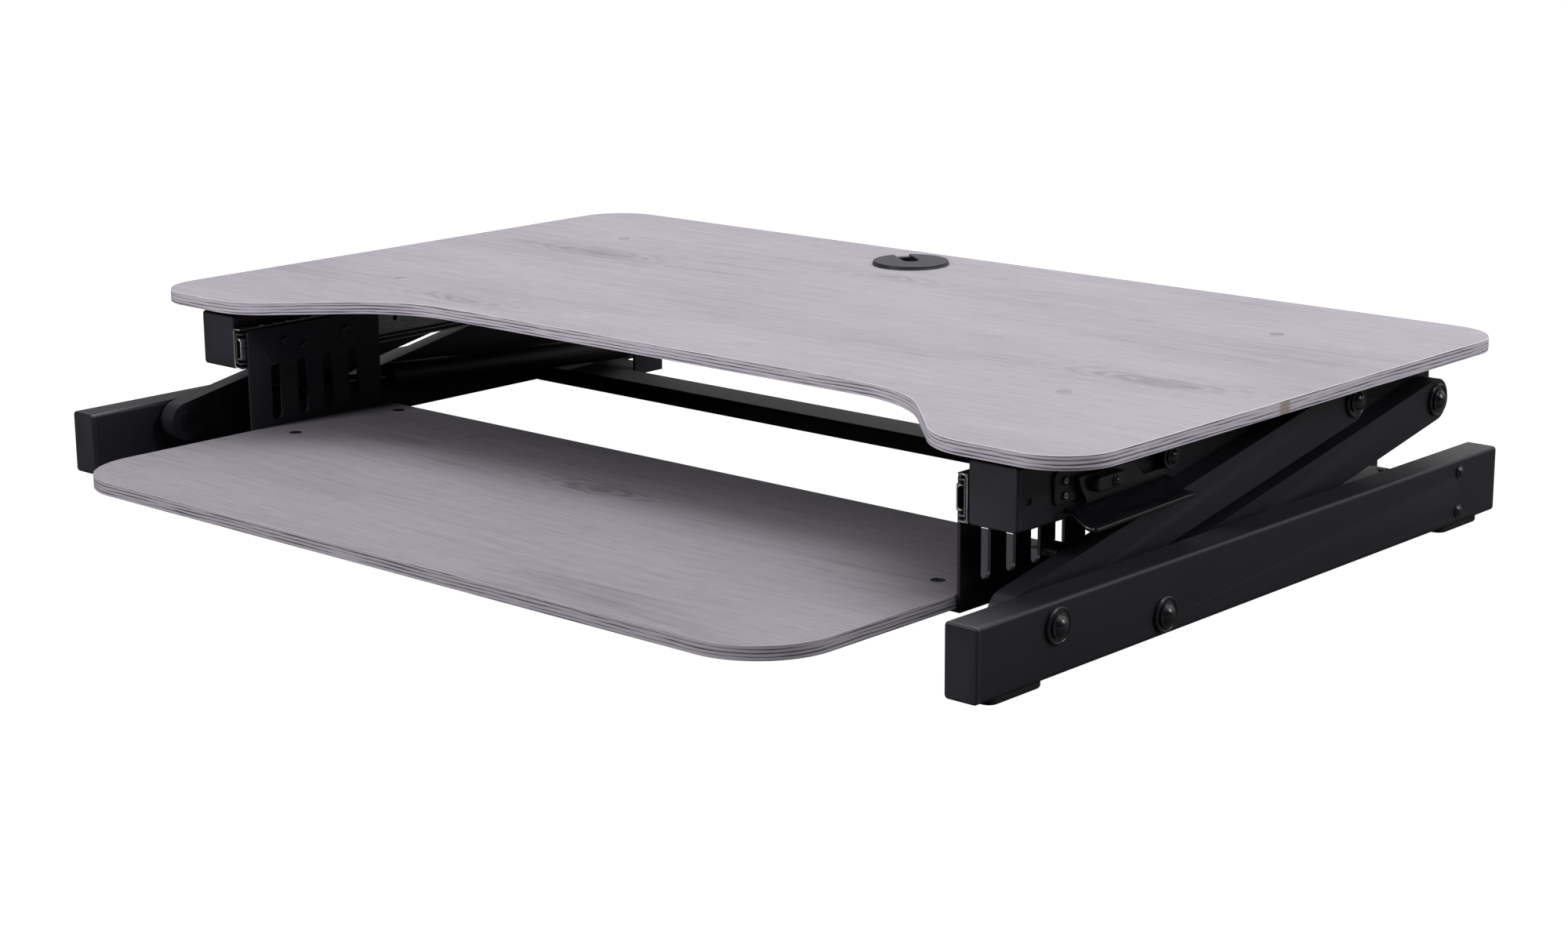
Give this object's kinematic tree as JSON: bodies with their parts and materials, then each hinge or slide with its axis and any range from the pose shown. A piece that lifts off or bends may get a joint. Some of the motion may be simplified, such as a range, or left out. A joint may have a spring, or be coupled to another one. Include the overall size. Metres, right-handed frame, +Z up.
{
  "type": "standing desk converter",
  "caption": "Sit-stand desk riser: grey wood-effect desktop and sliding keyboard tray on folding parallelogram arms over a two-rail base.",
  "frame": {"origin": "centre of the folded converter's footprint, on the surface it rests on", "axes": "+X to the user's right, +Y away from the user, +Z up"},
  "size_m": [0.95, 0.717, 0.1473],
  "materials": {
    "desktop_laminate": "pale grey oak-effect laminate on fibreboard, matching grey edge band",
    "tray_laminate": "pale grey oak-effect laminate on fibreboard, matching grey edge band",
    "frame_powder_coat": "black powder coat, satin",
    "black_plastic": "moulded black plastic, fine texture",
    "handle_plastic": "moulded black plastic, semi-gloss",
    "black_fasteners": "black oxide steel",
    "zinc_plate": "bright zinc plated steel",
    "rod_chrome": "hard chrome, polished",
    "foot_rubber": "black rubber"
  },
  "bodies": {
    "base": {"base_tube_right": "frame_powder_coat", "base_tube_left": "frame_powder_coat", "base_end_caps": "black_plastic", "rear_crossbar": "frame_powder_coat", "rubber_feet": "foot_rubber", "base_pivot_bolts": "black_fasteners", "base_pivot_washers": "black_fasteners", "gas_base_brackets": "frame_powder_coat", "gas_base_pins": "black_fasteners", "bracket_screws": "black_fasteners"},
    "front_arm_r": {"front_arm_right": "frame_powder_coat", "front_arm_bushes_right": "black_plastic"},
    "front_arm_l": {"front_arm_left": "frame_powder_coat", "front_arm_bushes_left": "black_plastic"},
    "rear_arm_r": {"rear_arm_right": "frame_powder_coat", "rear_arm_bushes_right": "black_plastic"},
    "rear_arm_l": {"rear_arm_left": "frame_powder_coat", "rear_arm_bushes_left": "black_plastic"},
    "top_frame": {"top_tube_right": "frame_powder_coat", "top_tube_left": "frame_powder_coat", "top_tube_caps": "black_plastic", "front_cross_strap": "frame_powder_coat", "rear_cross_strap": "frame_powder_coat", "desktop": "desktop_laminate", "desktop_screws": "black_fasteners", "top_pivot_bolts": "black_fasteners", "top_pivot_washers": "black_fasteners", "top_pivot_inserts": "black_fasteners", "slide_outer_right": "zinc_plate", "slide_outer_left": "zinc_plate", "slide_screws": "zinc_plate", "handle_bracket_right": "frame_powder_coat", "handle_bracket_left": "frame_powder_coat", "handle_rivets": "black_fasteners", "handle_pivot_bolts": "black_fasteners", "release_cables": "black_plastic", "grommet_sleeve": "black_plastic"},
    "slide_middle_r": {"slide_middle_right": "zinc_plate", "slide_balls_right": "zinc_plate"},
    "slide_middle_l": {"slide_middle_left": "zinc_plate", "slide_balls_left": "zinc_plate"},
    "tray": {"keyboard_tray": "tray_laminate", "tray_bolts": "black_fasteners", "tray_bracket_right": "frame_powder_coat", "tray_bracket_left": "frame_powder_coat", "tray_bracket_screws": "black_fasteners", "slide_inner_right": "zinc_plate", "slide_inner_left": "zinc_plate"},
    "lever_r": {"handle_lever_right": "handle_plastic", "cable_anchor_right": "black_plastic", "anchor_screw_right": "black_fasteners"},
    "lever_l": {"handle_lever_left": "handle_plastic", "cable_anchor_left": "black_plastic", "anchor_screw_left": "black_fasteners"},
    "gas_tube_r": {"gas_cylinder_right": "frame_powder_coat"},
    "gas_tube_l": {"gas_cylinder_left": "frame_powder_coat"},
    "gas_piston_r": {"gas_rod_right": "rod_chrome"},
    "gas_piston_l": {"gas_rod_left": "rod_chrome"},
    "grommet_cap_body": {"grommet_cap": "black_plastic"}
  },
  "joints": [
    {"name": "lift", "type": "hinge", "parent": "base", "child": "front_arm_r", "pos_m": [0.4313, -0.1965, 0.0387], "axis": [1, 0, 0], "range_deg": [0, 52]},
    {"name": "front_arm_left_pivot", "type": "hinge", "parent": "base", "child": "front_arm_l", "pos_m": [-0.4313, -0.1965, 0.0387], "axis": [1, 0, 0], "range_deg": [-1, 53]},
    {"name": "rear_arm_right_pivot", "type": "hinge", "parent": "base", "child": "rear_arm_r", "pos_m": [0.4313, -0.079, 0.0197], "axis": [1, 0, 0], "range_deg": [-1, 53]},
    {"name": "rear_arm_left_pivot", "type": "hinge", "parent": "base", "child": "rear_arm_l", "pos_m": [-0.4313, -0.079, 0.0197], "axis": [1, 0, 0], "range_deg": [-1, 53]},
    {"name": "top_frame_pivot", "type": "hinge", "parent": "front_arm_r", "child": "top_frame", "pos_m": [0.4313, 0.19642, 0.11365], "axis": [1, 0, 0], "range_deg": [-53, 1]},
    {"name": "tray_slide", "type": "slide", "parent": "top_frame", "child": "tray", "axis": [0, 1, 0], "range_m": [0, 0.2]},
    {"name": "slide_right_middle", "type": "slide", "parent": "top_frame", "child": "slide_middle_r", "axis": [0, 1, 0], "range_m": [-0.002, 0.102]},
    {"name": "slide_left_middle", "type": "slide", "parent": "top_frame", "child": "slide_middle_l", "axis": [0, 1, 0], "range_m": [-0.002, 0.102]},
    {"name": "release_lever_right", "type": "hinge", "parent": "top_frame", "child": "lever_r", "pos_m": [0.4275, -0.022, 0.1107], "axis": [-1, 0, 0], "range_deg": [0, 8]},
    {"name": "release_lever_left", "type": "hinge", "parent": "top_frame", "child": "lever_l", "pos_m": [-0.4275, -0.022, 0.1107], "axis": [-1, 0, 0], "range_deg": [0, 8]},
    {"name": "gas_tube_right_pivot", "type": "hinge", "parent": "base", "child": "gas_tube_r", "pos_m": [0.4, 0.303, 0.03], "axis": [1, 0, 0], "range_deg": [-8, 1]},
    {"name": "gas_tube_left_pivot", "type": "hinge", "parent": "base", "child": "gas_tube_l", "pos_m": [-0.4, 0.303, 0.03], "axis": [1, 0, 0], "range_deg": [-8, 1]},
    {"name": "gas_rod_right_slide", "type": "slide", "parent": "gas_tube_r", "child": "gas_piston_r", "axis": [0, -0.9981, 0.0621], "range_m": [-0.002, 0.058]},
    {"name": "gas_rod_left_slide", "type": "slide", "parent": "gas_tube_l", "child": "gas_piston_l", "axis": [0, -0.9981, 0.0621], "range_m": [-0.002, 0.058]},
    {"name": "grommet_turn", "type": "hinge", "parent": "top_frame", "child": "grommet_cap_body", "pos_m": [-0.065, 0.302, 0.145], "axis": [0, 0, 1], "continuous": true}
  ],
  "couplings": [
    {"joint": "front_arm_left_pivot", "follows": "lift", "ratio": 1},
    {"joint": "rear_arm_right_pivot", "follows": "lift", "ratio": 1},
    {"joint": "rear_arm_left_pivot", "follows": "lift", "ratio": 1},
    {"joint": "top_frame_pivot", "follows": "lift", "ratio": -1},
    {"joint": "gas_tube_right_pivot", "follows": "lift", "ratio": -0.1423},
    {"joint": "gas_tube_left_pivot", "follows": "lift", "ratio": -0.1423},
    {"joint": "gas_rod_right_slide", "follows": "lift", "m_per_rad": 0.060585},
    {"joint": "gas_rod_left_slide", "follows": "lift", "m_per_rad": 0.060585},
    {"joint": "slide_right_middle", "follows": "tray_slide", "ratio": 0.5},
    {"joint": "slide_left_middle", "follows": "tray_slide", "ratio": 0.5}
  ]
}
